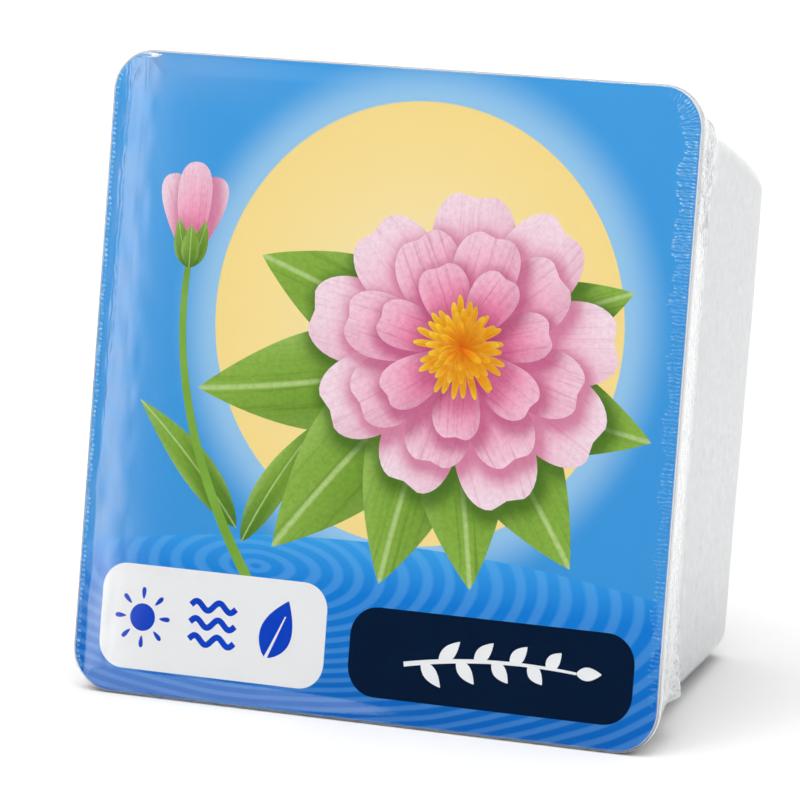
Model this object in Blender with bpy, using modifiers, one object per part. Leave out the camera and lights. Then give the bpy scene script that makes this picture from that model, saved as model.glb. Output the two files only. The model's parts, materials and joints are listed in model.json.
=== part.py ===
"""Shrink-wrapped square tub with a printed card lid, leaning back as it stands.

The pack is drawn square to its card: x to the right, y up the card, z out of the card's face,
with that face at z = 0 and the tub's depth running to negative z. An empty then leans it back
until the film touches the floor along its front edge and along its base edge.
"""

import math

import bmesh
import bpy
from mathutils import Matrix, Vector

MM = 0.001

# Card lid
CARD_HALF_WIDTH = 95 * MM
CARD_HALF_HEIGHT = 97.25 * MM
CARD_THICKNESS = 1.2 * MM
CARD_CORNER = 12.5 * MM

# Clearance between pieces that lie on each other
GAP = 0.3 * MM

# Tub: its outer wall is set in from the card's outline, more so towards the base
TUB_DEPTH = 114 * MM
TUB_WALL = 1.4 * MM
WALL_INSET = 4.6 * MM
WALL_DRAFT = math.radians(8.1)
WALL_CORNER = 9 * MM
FLANGE_INSET = 1.0 * MM
FLANGE_CORNER = 11.5 * MM
LIP_DROP = 3.5 * MM
FLANGE_FILLET = 1.2 * MM
BASE_FILLET = 4.0 * MM
RECESS_INSET = 9 * MM
RECESS_DEPTH = 1.5 * MM

# Shrink film: it leaves the card's edge and meets the tub's wall part of the way back
FILM = 0.2 * MM
FILM_MEETS_WALL = 40 * MM
FILM_EDGE_ROUND = 0.8 * MM
VENT_RADIUS = 3 * MM
VENT_HEIGHT = -45 * MM

CORNER_STEPS = 8
FILLET_STEPS = 4


def rounded_outline(inset, corner, z):
    """The card's outline moved inwards, with its own corner radius, as a ring of points."""
    half_x = CARD_HALF_WIDTH - inset
    half_y = CARD_HALF_HEIGHT - inset
    ring = []
    for quarter, (side_x, side_y) in enumerate(((1, 1), (-1, 1), (-1, -1), (1, -1))):
        centre_x = side_x * (half_x - corner)
        centre_y = side_y * (half_y - corner)
        for step in range(CORNER_STEPS + 1):
            angle = math.pi / 2 * (quarter + step / CORNER_STEPS)
            x = centre_x + corner * math.cos(angle)
            y = centre_y + corner * math.sin(angle)
            ring.append(Vector((x, y, z)))
    return ring


def wall_inset(z):
    """How far the tub's outer wall is set in from the card's outline, at height z."""
    return WALL_INSET - z * math.tan(WALL_DRAFT)


def base_fillet(radius, inset, base_z):
    """(inset, z) from the flat base round to the drafted wall.

    inset is where the wall would meet the plane of the base if the edge were sharp.
    """
    turn = math.pi / 2 - WALL_DRAFT
    reach = radius * math.tan(turn / 2)
    centre_inset = inset + reach
    centre_z = base_z + radius
    angles = [turn * step / FILLET_STEPS for step in range(FILLET_STEPS + 1)]
    return [
        (centre_inset - radius * math.sin(angle), centre_z - radius * math.cos(angle))
        for angle in angles
    ]


def flange_fillet(inset, flange_z):
    """(inset, z) round the inside corner from the wall to the underside of the flange."""
    turn = math.pi / 2 - WALL_DRAFT
    centre_inset = inset - FLANGE_FILLET * math.tan(turn / 2)
    centre_z = flange_z - FLANGE_FILLET
    angles = [turn * (1 - step / FILLET_STEPS) for step in range(FILLET_STEPS + 1)]
    return [
        (
            centre_inset + FLANGE_FILLET * math.sin(angle),
            centre_z + FLANGE_FILLET * math.cos(angle),
        )
        for angle in angles
    ]


def tub_rings():
    """The tub's underside, from the recess in its base to the end of the flange's lip."""
    base_z = -TUB_DEPTH
    flange_z = -CARD_THICKNESS - GAP - TUB_WALL
    sharp_inset = wall_inset(base_z)
    recess_inset = sharp_inset + RECESS_INSET
    profile = [
        (recess_inset + 2 * RECESS_DEPTH, base_z + RECESS_DEPTH, WALL_CORNER / 2),
        (recess_inset, base_z, WALL_CORNER / 2),
    ]
    profile += [(*place, WALL_CORNER) for place in base_fillet(BASE_FILLET, sharp_inset, base_z)]
    profile += [(*place, WALL_CORNER) for place in flange_fillet(wall_inset(flange_z), flange_z)]
    lip_inset = FLANGE_INSET + TUB_WALL
    lip_corner = FLANGE_CORNER - TUB_WALL
    profile.append((lip_inset, flange_z, lip_corner))
    profile.append((lip_inset, flange_z - LIP_DROP + TUB_WALL, lip_corner))
    return [rounded_outline(inset, corner, z) for inset, z, corner in profile]


def film_rings():
    """The film's outside, from its flat back, up the wall, out to the card's edge and round it."""
    clear = GAP + FILM
    base_z = -TUB_DEPTH - clear
    wall_gap = clear / math.cos(WALL_DRAFT)
    sharp_inset = wall_inset(base_z) - wall_gap
    profile = [
        (*place, WALL_CORNER + clear)
        for place in base_fillet(BASE_FILLET + clear, sharp_inset, base_z)
    ]
    meet_z = -FILM_MEETS_WALL
    profile.append((wall_inset(meet_z) - wall_gap, meet_z, WALL_CORNER + clear))
    edge_corner = CARD_CORNER + clear
    profile.append((-clear, -CARD_THICKNESS - FILM_EDGE_ROUND, edge_corner))
    for step in range(FILLET_STEPS + 1):
        angle = math.pi / 2 * step / FILLET_STEPS
        inward = FILM_EDGE_ROUND * (1 - math.cos(angle))
        z = clear - FILM_EDGE_ROUND * (1 - math.sin(angle))
        profile.append((inward - clear, z, edge_corner - inward))
    return [rounded_outline(inset, corner, z) for inset, z, corner in profile]


def resting_lean(film_outside):
    """The angle that lays the film's front edge and its base edge on the floor together."""
    bottoms = [(-ring[0].z, max(point.y for point in ring)) for ring in film_outside]
    front_depth, front_half = max(bottoms, key=lambda bottom: (bottom[1], bottom[0]))
    return min(
        math.atan2(front_half - half, depth - front_depth)
        for depth, half in bottoms
        if depth > FILM_MEETS_WALL
    )


def material(name, colour, roughness, alpha=1.0):
    made = bpy.data.materials.new(name)
    made.use_nodes = True
    shader = made.node_tree.nodes["Principled BSDF"]
    shader.inputs["Base Color"].default_value = (*colour, 1)
    shader.inputs["Roughness"].default_value = roughness
    shader.inputs["Metallic"].default_value = 0
    shader.inputs["Alpha"].default_value = alpha
    made.diffuse_color = (*colour, alpha)
    return made


def place(collection, obj, parent):
    collection.objects.link(obj)
    obj.parent = parent


def skin(rings, close_last):
    """An open skin through the rings, capped at the first one and, if asked, at the last."""
    mesh = bpy.data.meshes.new("skin")
    bm = bmesh.new()
    rows = [[bm.verts.new(point) for point in ring] for ring in rings]
    for lower, upper in zip(rows, rows[1:]):
        for i in range(len(lower)):
            bm.faces.new((lower[i - 1], lower[i], upper[i], upper[i - 1]))
    bm.faces.new(reversed(rows[0]))
    if close_last:
        bm.faces.new(rows[-1])
    bmesh.ops.recalc_face_normals(bm, faces=bm.faces)
    bm.to_mesh(mesh)
    bm.free()
    mesh.shade_smooth()
    mesh.set_sharp_from_angle(angle=math.radians(35))
    return mesh


def thicken(obj, thickness):
    """Adds the wall on the inner side of the skin."""
    solidify = obj.modifiers.new("wall", "SOLIDIFY")
    solidify.thickness = thickness
    solidify.offset = -1
    solidify.use_even_offset = True


def make_tub(collection, pack):
    tub = bpy.data.objects.new("tub", skin(tub_rings(), close_last=False))
    thicken(tub, TUB_WALL)
    tub.data.materials.append(material("moulded_white_polypropylene", (0.82, 0.83, 0.84), 0.35))
    place(collection, tub, pack)


def make_card(collection, pack):
    curve = bpy.data.curves.new("card_lid", "CURVE")
    curve.dimensions = "2D"
    curve.fill_mode = "BOTH"
    curve.extrude = CARD_THICKNESS / 2
    outline = rounded_outline(0, CARD_CORNER, 0)
    spline = curve.splines.new("POLY")
    spline.points.add(len(outline) - 1)
    for point, spot in zip(spline.points, outline):
        point.co = (spot.x, spot.y, 0, 1)
    spline.use_cyclic_u = True
    card = bpy.data.objects.new("card_lid", curve)
    card.location.z = -CARD_THICKNESS / 2
    curve.materials.append(material("printed_card", (0.056, 0.319, 0.694), 0.4))
    place(collection, card, pack)


def make_film(collection, cutters, pack, outside):
    film = bpy.data.objects.new("shrink_film", skin(outside, close_last=True))
    thicken(film, FILM)
    film.data.materials.append(material("clear_shrink_film", (0.9, 0.93, 0.95), 0.12, alpha=0.25))
    place(collection, film, pack)

    mesh = bpy.data.meshes.new("vent_cutter")
    bm = bmesh.new()
    bmesh.ops.create_cone(
        bm,
        cap_ends=True,
        segments=16,
        radius1=VENT_RADIUS,
        radius2=VENT_RADIUS,
        depth=2 * BASE_FILLET,
        matrix=Matrix.Translation((0, VENT_HEIGHT, -TUB_DEPTH)),
    )
    bm.to_mesh(mesh)
    bm.free()
    cutter = bpy.data.objects.new("vent_cutter", mesh)
    cutter.hide_render = True
    cutter.display_type = "WIRE"
    place(cutters, cutter, pack)

    vent = film.modifiers.new("vent", "BOOLEAN")
    vent.operation = "DIFFERENCE"
    vent.object = cutter


def main():
    for obj in list(bpy.data.objects):
        bpy.data.objects.remove(obj)
    pieces = bpy.data.collections.new("wrapped_tub")
    cutters = bpy.data.collections.new("cutters")
    bpy.context.scene.collection.children.link(pieces)
    bpy.context.scene.collection.children.link(cutters)

    outside = film_rings()
    turn = Matrix.Rotation(math.pi / 2 - resting_lean(outside), 4, "X")
    spots = [turn @ point for ring in outside for point in ring]
    lowest = min(spot.z for spot in spots)
    middle = (min(spot.y for spot in spots) + max(spot.y for spot in spots)) / 2
    pack = bpy.data.objects.new("pack_frame", None)
    pack.matrix_world = Matrix.Translation((0, -middle, -lowest)) @ turn
    pieces.objects.link(pack)

    make_tub(pieces, pack)
    make_card(pieces, pack)
    make_film(pieces, cutters, pack, outside)


main()
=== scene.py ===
"""Looks of a shrink-wrapped square tub with a printed card lid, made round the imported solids.

Lengths are in millimetres, in the pack's own frame: x to the right, y up the card and z out of the
card's face, with the printed face at z = 0. Each piece is made in that frame, and its object's matrix
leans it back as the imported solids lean.
"""

import json
import math
import random

import bmesh
import bpy
import numpy as np
from mathutils import Matrix, Vector, noise
from mathutils.geometry import delaunay_2d_cdt


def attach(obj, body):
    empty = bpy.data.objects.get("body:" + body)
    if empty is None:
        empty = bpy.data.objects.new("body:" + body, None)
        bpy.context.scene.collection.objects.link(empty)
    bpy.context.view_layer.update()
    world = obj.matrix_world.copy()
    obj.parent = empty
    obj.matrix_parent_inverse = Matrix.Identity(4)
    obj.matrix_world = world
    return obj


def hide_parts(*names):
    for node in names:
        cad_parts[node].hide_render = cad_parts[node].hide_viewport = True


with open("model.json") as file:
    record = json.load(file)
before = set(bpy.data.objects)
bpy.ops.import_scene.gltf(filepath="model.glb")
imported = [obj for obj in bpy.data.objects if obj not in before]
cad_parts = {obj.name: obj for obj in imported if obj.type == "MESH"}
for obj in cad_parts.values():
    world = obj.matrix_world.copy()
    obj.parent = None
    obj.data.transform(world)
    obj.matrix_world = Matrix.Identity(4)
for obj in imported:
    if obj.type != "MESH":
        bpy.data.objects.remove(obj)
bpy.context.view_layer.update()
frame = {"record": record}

MM = 0.001

# Camera, fitted to the pack's edges in the photograph
CAMERA_PLACE = (0.6179, -1.4396, 0.4291)
CAMERA_AZIMUTH = math.radians(23.81)
CAMERA_DROP = math.radians(12.42)
CAMERA_LENS = 235.05

# Card lid
HALF_WIDTH = 95.0
HALF_HEIGHT = 97.25
CARD_THICKNESS = 1.2
CARD_CORNER = 12.5
CARD_GAP = 0.3

# Tub
TUB_DEPTH = 114.0
TUB_WALL = 1.4
WALL_INSET = 4.6
WALL_DRAFT = math.radians(8.1)
WALL_CORNER = 9.0
FLANGE_TOP = -CARD_THICKNESS - CARD_GAP
FLANGE_INSET = 1.0
FLANGE_CORNER = 11.5
LIP_DROP = 3.5
BASE_FILLET = 4.0
RECESS_INSET = 9.0
RECESS_DEPTH = 1.5

# The tub's upper two corners are tighter near the card, and its base is a little wider towards its top
TOP_CORNER = 6.5
TOP_CORNER_GROWTH = 2.4
TOP_CORNER_GROWS_FROM = 90.0
TOP_SPREAD = 0.015
TOP_SPREAD_RISES = (-80.0, 60.0)

# Shrink film
FILM_CLEAR = 0.5
FILM_EDGE_ROUND = 0.8
FILM_MEETS_WALL = 35.0
VENT_RADIUS = 3.0
VENT_HEIGHT = -45.0


def pack_matrix():
    """From the pack's frame to the world: the card's mount gives its middle and which way it faces."""
    mount = next(m for m in frame["record"]["mounts"] if m["name"] == "card_face")
    out = Vector(mount["axis"])
    right = Vector((1, 0, 0))
    matrix = Matrix((right, out.cross(right), out)).transposed().to_4x4()
    matrix.translation = Vector(mount["pos_m"]) - out * FILM_CLEAR * MM
    return matrix


def linear(code):
    """The linear colour, with full alpha, of an sRGB hex value."""
    parts = [int(code[i : i + 2], 16) / 255 for i in (1, 3, 5)]
    return (*(p / 12.92 if p <= 0.04045 else ((p + 0.055) / 1.055) ** 2.4 for p in parts), 1.0)


def add(tree, kind, inputs=None, stops=None, **settings):
    """Adds a node: inputs are its sockets' values or links, stops a ramp's colours, settings its own."""
    node = tree.nodes.new("ShaderNode" + kind)
    for name, value in settings.items():
        setattr(node, name, value)
    for socket, value in (inputs or {}).items():
        if isinstance(value, bpy.types.NodeSocket):
            tree.links.new(value, node.inputs[socket])
        else:
            node.inputs[socket].default_value = value
    if stops:
        elements = node.color_ramp.elements
        elements.remove(elements[1])
        elements[0].position = stops[0][0]
        elements[0].color = linear(stops[0][1])
        for place, code in stops[1:]:
            elements.new(place).color = linear(code)
    return node


def pack_place(tree):
    """Coordinates in the pack's frame: the piece's own, with the pack's lean taken out."""
    place, turn, _ = pack_matrix().decompose()
    own = add(tree, "TexCoord").outputs["Object"]
    settings = {"Vector": own, "Location": place, "Rotation": turn.to_euler()}
    return add(tree, "Mapping", settings, vector_type="TEXTURE").outputs[0]


def surface(name):
    """A new material with its node tree and its Principled shader."""
    made = bpy.data.materials.new(name)
    made.use_nodes = True
    return made, made.node_tree, made.node_tree.nodes["Principled BSDF"]


def show(name, mesh, node):
    """Stands a mesh made in the pack's frame in the scene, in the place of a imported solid."""
    mesh.transform(pack_matrix())
    obj = bpy.data.objects.new(name, mesh)
    bpy.context.scene.collection.objects.link(obj)
    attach(obj, "root")
    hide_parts(node)


def square_outline(inset, corner, columns):
    """Points and outward directions along the card's outline moved inwards, anticlockwise.

    It starts at the top of the right side. corner is one radius, or one each for the upper right, upper
    left, lower left and lower right. columns holds the number of steps round each corner and along the side
    that follows it, and how far that side's steps are crowded towards its end.
    """
    points = []
    outward = []
    radii = np.broadcast_to(corner, 4)
    signs = np.array([(1, 1), (-1, 1), (-1, -1), (1, -1)])
    centres = signs * (np.array([HALF_WIDTH, HALF_HEIGHT]) - inset - radii[:, None])
    for quarter, (turn_steps, side_steps, crowding) in enumerate(columns):
        following = (quarter + 1) % 4
        angle = math.pi / 2 * (quarter + np.arange(turn_steps) / turn_steps)
        arc = np.column_stack([np.cos(angle), np.sin(angle)])
        facing = np.array([math.cos(math.pi / 2 * (quarter + 1)), math.sin(math.pi / 2 * (quarter + 1))])
        start = centres[quarter] + radii[quarter] * facing
        end = centres[following] + radii[following] * facing
        share = np.arange(side_steps)[:, None] / side_steps
        share = share * (1 + crowding * (1 - share))
        points += [centres[quarter] + radii[quarter] * arc, start + share * (end - start)]
        outward += [arc, np.repeat(facing[None], side_steps, axis=0)]
    return np.concatenate(points), np.concatenate(outward)


def wall_inset(z):
    """How far the tub's outer wall is set in from the card's outline, at height z."""
    return WALL_INSET - z * math.tan(WALL_DRAFT)


def wall_corners(z):
    """The outer wall's corner radii at height z. The upper two are tighter, most of all near the card."""
    top = TOP_CORNER + TOP_CORNER_GROWTH * step(-z, TOP_CORNER_GROWS_FROM, TUB_DEPTH)
    return np.array([top, top, WALL_CORNER, WALL_CORNER])


def fillet(radius, inset, base_z, steps):
    """(inset, z, tilt) round the base's edge, from the flat base to the drafted wall."""
    turn = math.pi / 2 - WALL_DRAFT
    centre_inset = inset + radius * math.tan(turn / 2)
    angles = [turn * step / steps for step in range(steps + 1)]
    return [
        (
            centre_inset - radius * math.sin(angle),
            base_z + radius - radius * math.cos(angle),
            angle - math.pi / 2,
        )
        for angle in angles
    ]


def bridge(first, first_count, second, second_count):
    """Faces between two closed rows of vertices, where one row may have twice the other's."""
    count = min(first_count, second_count)
    first_step = first_count // count
    second_step = second_count // count
    faces = []
    for i in range(count):
        one = [first + (i * first_step + k) % first_count for k in range(first_step + 1)]
        other = [second + (i * second_step + k) % second_count for k in range(second_step + 1)]
        faces.append(other + one[::-1])
    return faces


def skin_mesh(name, rows, cap_first, cap_last):
    """A mesh through closed rows of points, each row with as many points as the next, twice as many or half.

    The pack is a little wider towards the top of its base.
    """
    faces = []
    first = 0
    if cap_first:
        faces.append(list(range(len(rows[0]))))
    for row, following in zip(rows, rows[1:]):
        faces += bridge(first, len(row), first + len(row), len(following))
        first += len(row)
    if cap_last:
        faces.append([first + i for i in reversed(range(len(rows[-1])))])
    points = np.concatenate(rows)
    widening = TOP_SPREAD * -points[:, 2] / TUB_DEPTH * step(points[:, 1], *TOP_SPREAD_RISES)
    points[:, 0] *= 1 + widening
    mesh = bpy.data.meshes.new(name)
    mesh.from_pydata((points * MM).tolist(), [], faces)
    mesh.shade_smooth()
    return mesh


def step(values, start, end):
    """0 before start, 1 after end and smooth between; start may be the larger."""
    share = np.clip((values - start) / (end - start), 0, 1)
    return share * share * (3 - 2 * share)


def bump(values, middle, width):
    """A smooth hump, 1 at the middle."""
    return np.exp(-(((values - middle) / width) ** 2))


def ripple(points, size, seed):
    """Smooth noise from about -1 to 1, whose bumps are about size apart. size may differ by axis."""
    shift = Vector((seed * 7.31, seed * 3.17, seed * 5.93))
    return np.array([noise.noise(Vector(point) + shift) for point in points / np.array(size)])


# The tub

TUB_COLUMNS = ((20, 24, 0),) * 4
TUB_FILLET_STEPS = 8
FLANGE_FILLET = 1.2
MOUTH_ROUND = 0.6
FLANGE_ROUND = 0.5
LIP_ROUND = 0.3
LIP_FILLET = 0.4
RECESS_CORNER = WALL_CORNER / 2
RECESS_SLOPE = 2 * RECESS_DEPTH
RECESS_ROUND = 0.4
RECESS_SAG = 0.1

# How deep the plain wall's last rows lie inside and outside, clear of the base's rounded edge
INNER_WALL_END = 100.0
OUTER_WALL_END = 109.0

# The stub where the plastic was injected: a small square in the base that its rows start towards, given by
# its inset and corner, then the rows' (radius, height)
GATE_SQUARE = (60, 3)
GATE_ROWS = ((14, 0), (4, 0), (2.5, 0), (2.2, 0.2), (2.0, 0.8))


def moulded_polypropylene():
    """Injection-moulded white PP: a satin skin, faint flow lines along the wall, a trace of orange peel."""
    made, tree, shader = surface("injection_moulded_white_polypropylene")
    place = pack_place(tree)
    flow_line_spacing = 1.6 * MM
    flow_line_length = 10 * MM
    cloud_size = 2.8 * MM
    peel_size = 1.2 * MM
    flow_scale = (1 / flow_line_length, 1 / flow_line_length, 1 / flow_line_spacing)
    drawn = add(tree, "Mapping", {"Vector": place, "Scale": flow_scale}).outputs[0]
    flow = add(tree, "TexNoise", {"Vector": drawn, "Scale": 1.0, "Detail": 5.0, "Roughness": 0.7}).outputs[0]
    cloud = add(
        tree,
        "TexNoise",
        {"Vector": place, "Scale": 1 / cloud_size, "Detail": 6.0, "Roughness": 0.7},
    ).outputs[0]
    shade = add(tree, "Mix", {0: 0.8, 2: flow, 3: cloud}).outputs[0]
    tones = ((0.3, "#9C9D9F"), (0.4, "#ADAEB0"), (0.5, "#B3B4B6"), (0.7, "#BEBFC0"))
    tint = add(tree, "ValToRGB", {0: shade}, stops=tones)
    peel = add(tree, "TexNoise", {"Vector": place, "Scale": 1 / peel_size, "Detail": 1.0}).outputs[0]
    both = add(tree, "Math", {0: flow, 1: 0.6, 2: peel}, operation="MULTIPLY_ADD").outputs[0]
    relief = add(tree, "Bump", {"Height": both, "Strength": 0.12, "Distance": 0.1 * MM}).outputs[0]
    tree.links.new(tint.outputs[0], shader.inputs["Base Color"])
    tree.links.new(relief, shader.inputs["Normal"])
    shader.inputs["Roughness"].default_value = 0.36
    shader.inputs["IOR"].default_value = 1.49
    return made


def tub_profile():
    """(inset, z, corner) round the tub's section, from the middle of its inside to that of its base."""
    flange_under = FLANGE_TOP - TUB_WALL
    lip_end = flange_under - LIP_DROP + TUB_WALL
    lip_inside = FLANGE_INSET + TUB_WALL
    lip_inside_corner = FLANGE_CORNER - TUB_WALL
    inner_wall = TUB_WALL / math.cos(WALL_DRAFT)
    inner_base_z = -TUB_DEPTH + TUB_WALL
    inner_sharp = wall_inset(inner_base_z) + inner_wall
    sharp = wall_inset(-TUB_DEPTH)
    recess = sharp + RECESS_INSET
    recess_z = -TUB_DEPTH + RECESS_DEPTH
    outer_base = fillet(BASE_FILLET, sharp, -TUB_DEPTH, TUB_FILLET_STEPS)
    inner_base = fillet(BASE_FILLET - TUB_WALL, inner_sharp, inner_base_z, TUB_FILLET_STEPS)
    profile = [
        (recess + RECESS_SLOPE, inner_base_z + RECESS_DEPTH, RECESS_CORNER),
        (recess, inner_base_z, RECESS_CORNER),
    ]
    profile += [(inset, z, wall_corners(z) - TUB_WALL) for inset, z, _ in inner_base]
    for z in np.linspace(-INNER_WALL_END, FLANGE_TOP - MOUTH_ROUND, 12):
        profile.append((wall_inset(z) + inner_wall, z, wall_corners(z) - TUB_WALL))
    mouth = wall_inset(FLANGE_TOP) + inner_wall - MOUTH_ROUND
    profile += [
        (mouth, FLANGE_TOP, wall_corners(FLANGE_TOP) - TUB_WALL + MOUTH_ROUND),
        (FLANGE_INSET + FLANGE_ROUND, FLANGE_TOP, FLANGE_CORNER - FLANGE_ROUND),
        (FLANGE_INSET, FLANGE_TOP - FLANGE_ROUND, FLANGE_CORNER),
        (FLANGE_INSET, lip_end + LIP_ROUND, FLANGE_CORNER),
        (FLANGE_INSET + LIP_ROUND, lip_end, FLANGE_CORNER - LIP_ROUND),
        (lip_inside, lip_end, lip_inside_corner),
        (lip_inside, flange_under - LIP_FILLET, lip_inside_corner),
        (lip_inside + LIP_FILLET, flange_under, lip_inside_corner),
    ]
    for reach, drop in ((1, 0), (0.3, 0.3)):
        inset = wall_inset(flange_under) - reach * FLANGE_FILLET
        profile.append((inset, flange_under - drop * FLANGE_FILLET, wall_corners(flange_under)))
    for z in np.linspace(flange_under - FLANGE_FILLET, -OUTER_WALL_END, 16):
        profile.append((wall_inset(z), z, wall_corners(z)))
    profile += [(inset, z, wall_corners(z)) for inset, z, _ in reversed(outer_base)]
    profile += [
        (recess - RECESS_ROUND, -TUB_DEPTH, RECESS_CORNER),
        (recess, -TUB_DEPTH + RECESS_ROUND / 2, RECESS_CORNER),
        (recess + RECESS_SLOPE, recess_z, RECESS_CORNER),
        (recess + RECESS_SLOPE + 1.5 * RECESS_ROUND, recess_z + RECESS_SAG, RECESS_CORNER),
    ]
    return profile


def gate_mark():
    """Rows that take the base's recess in to the small round stub where the plastic was injected."""
    outline, _ = square_outline(*GATE_SQUARE, TUB_COLUMNS)
    towards = outline / np.linalg.norm(outline, axis=1)[:, None]
    floor_z = -TUB_DEPTH + RECESS_DEPTH + RECESS_SAG
    return [
        np.column_stack([towards * radius, np.full(len(towards), floor_z - height)])
        for radius, height in GATE_ROWS
    ]


def make_tub():
    rows = []
    for inset, z, corner in tub_profile():
        outline, _ = square_outline(inset, corner, TUB_COLUMNS)
        rows.append(np.column_stack([outline, np.full(len(outline), z)]))
    rows += gate_mark()
    mesh = skin_mesh("tub_moulding", rows, cap_first=True, cap_last=True)
    mesh.set_sharp_from_angle(angle=math.radians(50))
    mesh.materials.append(moulded_polypropylene())
    show("tub_moulding", mesh, "tub")


# The card's printed face: shapes laid over each other in painter's order, all flat in the card's face

BLOSSOM = np.array([25.0, 16.0])
SUN = np.array([10.0, 22.0])
SUN_RADIUS = 66.0
WATER_LEVEL = -44.0
WATER_SAG = 9.0
PRINT_SEED = 4

# The grids that carry the painted tones: the fine one covers the blossom and the bud
FINE_GRID = 2.2
COARSE_GRID = 5.0
GRID_STAGGER = 0.11
GRID_TO_EDGE = 1.0
BLOSSOM_REACH = 76.0
BUD_RIGHT = -40.0
BUD_RISE = (-50.0, 70.0)

# Painted shadow and light: how far the shadow is thrown and how soft it is, and where the light comes from
SHADOW_THROW = np.array([1.3, -1.8])
SHADOW_REACH = 3.2
LIGHT_FROM = np.array([-0.6, 0.8])
LIGHT_GAIN = 0.9

# What each corner of the card's faces carries for the painted inks: its place in its motif, how dark and how
# light it is, and a number that makes the veins of each motif its own
PRINT_LAYERS = ("motif", "tone", "seed")
SEED_STEP = 0.37


class Motif:
    """A printed shape: its outline, its ink, the axis its shading follows and the painted shadow it casts."""

    def __init__(self, ink, outline, root=(0, 0), angle=90, length=100, width=200, bend=0.0, shadow=0.0):
        self.ink = ink
        outline = np.asarray(outline, float)
        onward = np.roll(outline, -1, axis=0)
        anticlockwise = (outline[:, 0] * onward[:, 1] - outline[:, 1] * onward[:, 0]).sum() > 0
        self.outline = outline if anticlockwise else outline[::-1]
        self.root = np.array(root, float)
        self.axis = np.array([math.cos(math.radians(angle)), math.sin(math.radians(angle))])
        self.length = length
        self.width = width
        self.bend = bend
        self.shadow = shadow

    def inside(self, points):
        """(along, across) of points: along is 0 at the root and 1 at the tip, across 0 and 1 at the sides."""
        offset = points - self.root
        along = offset @ self.axis / self.length
        across = offset @ np.array([-self.axis[1], self.axis[0]])
        return np.column_stack([along, 0.5 + (across - self.bend * self.width * along**2) / self.width])


def on_axis(along, across, root, angle):
    """Points given along and across an axis, in the card's frame."""
    axis = np.array([math.cos(math.radians(angle)), math.sin(math.radians(angle))])
    side = np.array([-axis[1], axis[0]])
    return np.array(root) + np.outer(along, axis) + np.outer(across, side)


def disc(centre, radius, count=48):
    turn = np.linspace(0, 2 * math.pi, count, endpoint=False)
    return np.array(centre) + radius * np.column_stack([np.cos(turn), np.sin(turn)])


def plate_outline(left, bottom, right, top, corner):
    """A rounded rectangle."""
    points = []
    right -= corner
    top -= corner
    left += corner
    bottom += corner
    for quarter, (x, y) in enumerate(((right, top), (left, top), (left, bottom), (right, bottom))):
        turn = np.linspace(quarter, quarter + 1, 9) * math.pi / 2
        points.append(np.column_stack([x + corner * np.cos(turn), y + corner * np.sin(turn)]))
    return np.concatenate(points)


def petal(ink, root, angle, length, width, notch=0.05, bend=0.0, shadow=0.8):
    """A rounded petal, widest past its middle, with a shallow notch in its tip."""
    turn = np.linspace(0, 2 * math.pi, 46, endpoint=False)
    along = (1 - np.cos(turn)) / 2
    side = np.sin(turn)
    across = width / 2 * np.sign(side) * np.abs(side) ** 0.85 * (0.42 + 0.58 * along) * 1.25
    along = along - notch * bump(turn, math.pi, 0.2)
    outline = on_axis(along * length, across + bend * width * along**2, root, angle)
    return Motif(ink, outline, root, angle, length, width * 1.25, bend, shadow)


def leaf(ink, root, angle, length, width, bend=0.0, shadow=0.4):
    """A leaf pointed at both ends, widest before its middle."""
    along = np.linspace(0, 1, 22)
    half = width / 2 * np.sin(math.pi * along**0.8) ** 0.9
    along = np.concatenate([along, along[-2:0:-1]])
    across = np.concatenate([half, -half[-2:0:-1]])
    outline = on_axis(along * length, across + bend * width * along**2, root, angle)
    return Motif(ink, outline, root, angle, length, width, bend, shadow)


def ribbon(ink, points, widths, shadow=0.0):
    """A band along a line of points."""
    points = np.asarray(points, float)
    run = np.gradient(points, axis=0)
    side = np.column_stack([-run[:, 1], run[:, 0]]) / np.linalg.norm(run, axis=1)[:, None]
    half = np.asarray(widths)[:, None] / 2
    return Motif(ink, np.concatenate([points + side * half, (points - side * half)[::-1]]), shadow=shadow)


def curve(start, pull, end, count):
    """A quadratic curve from start to end, drawn towards pull."""
    t = np.linspace(0, 1, count)[:, None]
    return (1 - t) ** 2 * np.array(start) + 2 * t * (1 - t) * np.array(pull) + t**2 * np.array(end)


def background_motifs():
    across = np.linspace(100, -100, 40)
    water = np.column_stack([across, WATER_LEVEL - WATER_SAG * (across / HALF_WIDTH) ** 2])
    water = np.concatenate([water, [(-100, -102), (100, -102)]])
    outline, _ = square_outline(0, CARD_CORNER, ((12, 20, 0),) * 4)
    return [
        Motif("sky", outline),
        Motif("sun", disc(SUN, SUN_RADIUS, 120)),
        Motif("water", water),
    ]


def bud_motifs():
    """A closed bud on a long stem, with two narrow leaves, at the left of the card."""
    stem = curve((-34, -66), (-72, -14), (-66, 36), 26)
    head = np.array([-66.0, 35.0])
    motifs = [
        leaf("leaf", (-44, -44), 128, 50, 11, 0.5),
        leaf("leaf", (-42, -48), 66, 46, 10, -0.6),
        ribbon("stem", stem, np.linspace(3.4, 2.0, 26), 0.3),
        petal("outer_petal", head, 104, 27, 11, 0.0, 0.1),
        petal("outer_petal", head, 74, 27, 11, 0.0, -0.1),
        petal("middle_petal", head, 89, 30, 12, 0.0),
        leaf("leaf", head - (0, 2), 116, 15, 6, -0.4),
        leaf("leaf", head - (0, 2), 62, 15, 6, 0.4),
        leaf("leaf", head - (0, 2), 90, 13, 6),
    ]
    return motifs


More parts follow.
